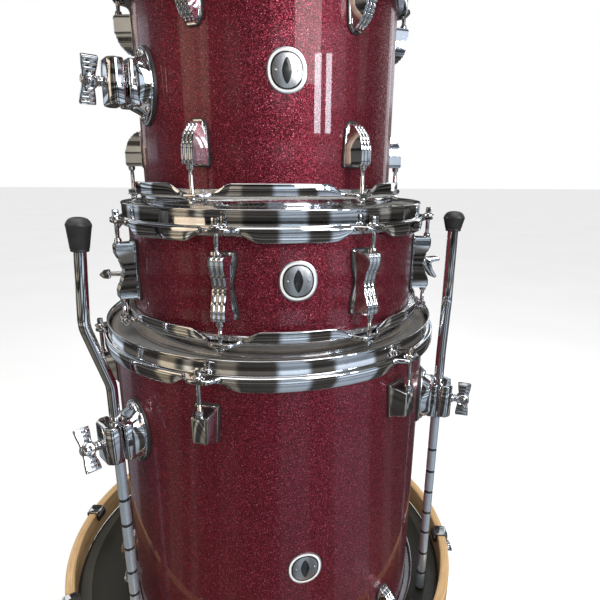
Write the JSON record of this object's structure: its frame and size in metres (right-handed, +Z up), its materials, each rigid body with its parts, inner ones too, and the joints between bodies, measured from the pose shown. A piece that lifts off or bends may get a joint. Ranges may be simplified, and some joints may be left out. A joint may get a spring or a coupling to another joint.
{
  "type": "acoustic drum kit",
  "caption": "Drum kit packed as a tower: rack tom on snare drum on upturned floor tom on bass drum, with sliding legs, clamps, strainer and folding spurs.",
  "frame": {"origin": "on the bass drum's axis, at the floor", "axes": "+Z up the tower, -Y towards its front, which the badges face, +X to the right seen from the front"},
  "size_m": [0.5974, 0.5976, 1.3],
  "materials": {
    "sparkle_wrap": "maple plies under a wine red glitter wrap with a clear gloss coat",
    "chrome": "mirror chrome plate, lightly worn",
    "maple_hoop": "clear satin lacquer over pale maple",
    "dark_head": "dark grey satin film",
    "coated_head": "white sprayed matt coating",
    "clear_head": "hazy clear film",
    "rubber": "moulded matt rubber"
  },
  "bodies": {
    "bass_drum": {"bass_shell": "sparkle_wrap", "bass_front_hoop": "maple_hoop", "bass_batter_hoop": "maple_hoop", "bass_front_head": "dark_head", "bass_batter_head": "coated_head", "spur_bracket_left": "chrome", "spur_bracket_right": "chrome", "tom_holder_base": "chrome"},
    "spur_left": {"spur_leg_left": "chrome", "spur_foot_left": "rubber"},
    "spur_right": {"spur_leg_right": "chrome", "spur_foot_right": "rubber"},
    "tom_holder_key_bolt": {"tom_holder_key_bolt": "chrome"},
    "floor_tom": {"floor_tom_shell": "sparkle_wrap", "floor_tom_resonant_hoop": "chrome", "floor_tom_batter_hoop": "chrome", "floor_tom_resonant_head": "clear_head", "floor_tom_batter_head": "coated_head", "leg_bracket_1": "chrome", "leg_bracket_2": "chrome", "leg_bracket_3": "chrome"},
    "floor_leg_1": {"floor_leg_1": "chrome", "floor_leg_foot_1": "rubber"},
    "leg_clamp_jaw_1": {"leg_clamp_jaw_1": "chrome"},
    "leg_wing_bolt_1": {"leg_wing_bolt_1": "chrome"},
    "floor_leg_2": {"floor_leg_2": "chrome", "floor_leg_foot_2": "rubber"},
    "leg_clamp_jaw_2": {"leg_clamp_jaw_2": "chrome"},
    "leg_wing_bolt_2": {"leg_wing_bolt_2": "chrome"},
    "floor_leg_3": {"floor_leg_3": "chrome", "floor_leg_foot_3": "rubber"},
    "leg_clamp_jaw_3": {"leg_clamp_jaw_3": "chrome"},
    "leg_wing_bolt_3": {"leg_wing_bolt_3": "chrome"},
    "snare_drum": {"snare_shell": "sparkle_wrap", "snare_batter_hoop": "chrome", "snare_resonant_hoop": "chrome", "snare_batter_head": "coated_head", "snare_resonant_head": "clear_head", "snare_lug_1": "chrome", "snare_lug_2": "chrome", "snare_lug_3": "chrome", "snare_lug_4": "chrome", "snare_lug_5": "chrome", "snare_lug_6": "chrome", "snare_lug_7": "chrome", "snare_lug_8": "chrome", "strainer_body": "chrome", "snare_butt_plate": "chrome"},
    "throw_off_lever": {"throw_off_lever": "chrome"},
    "strainer_knob": {"strainer_knob": "chrome"},
    "snare_wires": {"snare_wires": "chrome"},
    "rack_tom": {"rack_tom_shell": "sparkle_wrap", "rack_tom_batter_hoop": "chrome", "rack_tom_resonant_hoop": "chrome", "rack_tom_batter_head": "coated_head", "rack_tom_resonant_head": "clear_head", "tom_bracket": "chrome"},
    "tom_clamp_jaw": {"tom_clamp_jaw": "chrome"},
    "tom_wing_bolt": {"tom_wing_bolt": "chrome"}
  },
  "joints": [
    {"name": "floor_tom_lift", "type": "slide", "parent": "bass_drum", "child": "floor_tom", "axis": [0, 0, 1], "range_m": [0, 0.12]},
    {"name": "snare_drum_lift", "type": "slide", "parent": "floor_tom", "child": "snare_drum", "axis": [0, 0, 1], "range_m": [0, 0.18]},
    {"name": "rack_tom_lift", "type": "slide", "parent": "snare_drum", "child": "rack_tom", "axis": [0, 0, 1], "range_m": [0, 0.1]},
    {"name": "floor_leg_1_slide", "type": "slide", "parent": "floor_tom", "child": "floor_leg_1", "axis": [0, 0, 1], "range_m": [0, 0.24]},
    {"name": "floor_leg_2_slide", "type": "slide", "parent": "floor_tom", "child": "floor_leg_2", "axis": [0, 0, 1], "range_m": [0, 0.24]},
    {"name": "floor_leg_3_slide", "type": "slide", "parent": "floor_tom", "child": "floor_leg_3", "axis": [0, 0, 1], "range_m": [0, 0.24]},
    {"name": "leg_clamp_jaw_1_slide", "type": "slide", "parent": "floor_tom", "child": "leg_clamp_jaw_1", "axis": [-0.742, -0.6704, 0], "range_m": [0, 0.00225]},
    {"name": "leg_wing_bolt_1_turn", "type": "hinge", "parent": "leg_clamp_jaw_1", "child": "leg_wing_bolt_1", "pos_m": [-0.16976, -0.20989, 0.8098], "axis": [-0.742, -0.6704, 0], "range_deg": [0, 540]},
    {"name": "leg_clamp_jaw_2_slide", "type": "slide", "parent": "floor_tom", "child": "leg_clamp_jaw_2", "axis": [0.9516, -0.3074, 0], "range_m": [0, 0.00225]},
    {"name": "leg_wing_bolt_2_turn", "type": "hinge", "parent": "leg_clamp_jaw_2", "child": "leg_wing_bolt_2", "pos_m": [0.2604, -0.11767, 0.8098], "axis": [0.9516, -0.3074, 0], "range_deg": [0, 540]},
    {"name": "leg_clamp_jaw_3_slide", "type": "slide", "parent": "floor_tom", "child": "leg_clamp_jaw_3", "axis": [-0.2096, 0.9778, 0], "range_m": [0, 0.00225]},
    {"name": "leg_wing_bolt_3_turn", "type": "hinge", "parent": "leg_clamp_jaw_3", "child": "leg_wing_bolt_3", "pos_m": [-0.03454, 0.20876, 0.8098], "axis": [-0.2096, 0.9778, 0], "range_deg": [0, 540]},
    {"name": "tom_clamp_jaw_slide", "type": "slide", "parent": "rack_tom", "child": "tom_clamp_jaw", "axis": [-0.8231, -0.5678, 0], "range_m": [0, 0.00225]},
    {"name": "tom_wing_bolt_turn", "type": "hinge", "parent": "tom_clamp_jaw", "child": "tom_wing_bolt", "pos_m": [-0.1503, -0.14877, 1.1784], "axis": [-0.8231, -0.5678, 0], "range_deg": [0, 540]},
    {"name": "throw_off_swing", "type": "hinge", "parent": "snare_drum", "child": "throw_off_lever", "pos_m": [0.22923, -0.01629, 0.9758], "axis": [0.1262, -0.992, 0], "range_deg": [0, 80]},
    {"name": "snare_wires_rise", "type": "slide", "parent": "snare_drum", "child": "snare_wires", "axis": [0, 0, 1], "range_m": [0, 0.0028]},
    {"name": "strainer_knob_turn", "type": "hinge", "parent": "snare_drum", "child": "strainer_knob", "pos_m": [0.21038, -0.01869, 1.0138], "axis": [0, 0, 1], "continuous": true},
    {"name": "spur_left_swing", "type": "hinge", "parent": "bass_drum", "child": "spur_left", "pos_m": [-0.23963, 0.19824, 0.398], "axis": [0.7638, -0.4663, 0.4462], "range_deg": [0, 140]},
    {"name": "spur_right_swing", "type": "hinge", "parent": "bass_drum", "child": "spur_right", "pos_m": [0.28322, 0.12848, 0.398], "axis": [0.8594, 0.2497, -0.4462], "range_deg": [0, 140]},
    {"name": "tom_holder_key_bolt_turn", "type": "hinge", "parent": "bass_drum", "child": "tom_holder_key_bolt", "pos_m": [-0.0026, -0.29172, 0.336], "axis": [0.9912, -0.1323, 0], "continuous": true}
  ],
  "couplings": [
    {"joint": "leg_wing_bolt_1_turn", "follows": "leg_clamp_jaw_1_slide", "rad_per_m": 4188.8},
    {"joint": "leg_wing_bolt_2_turn", "follows": "leg_clamp_jaw_2_slide", "rad_per_m": 4188.8},
    {"joint": "leg_wing_bolt_3_turn", "follows": "leg_clamp_jaw_3_slide", "rad_per_m": 4188.8},
    {"joint": "tom_wing_bolt_turn", "follows": "tom_clamp_jaw_slide", "rad_per_m": 4188.8},
    {"joint": "snare_wires_rise", "follows": "throw_off_swing", "m_per_rad": 0.002}
  ]
}
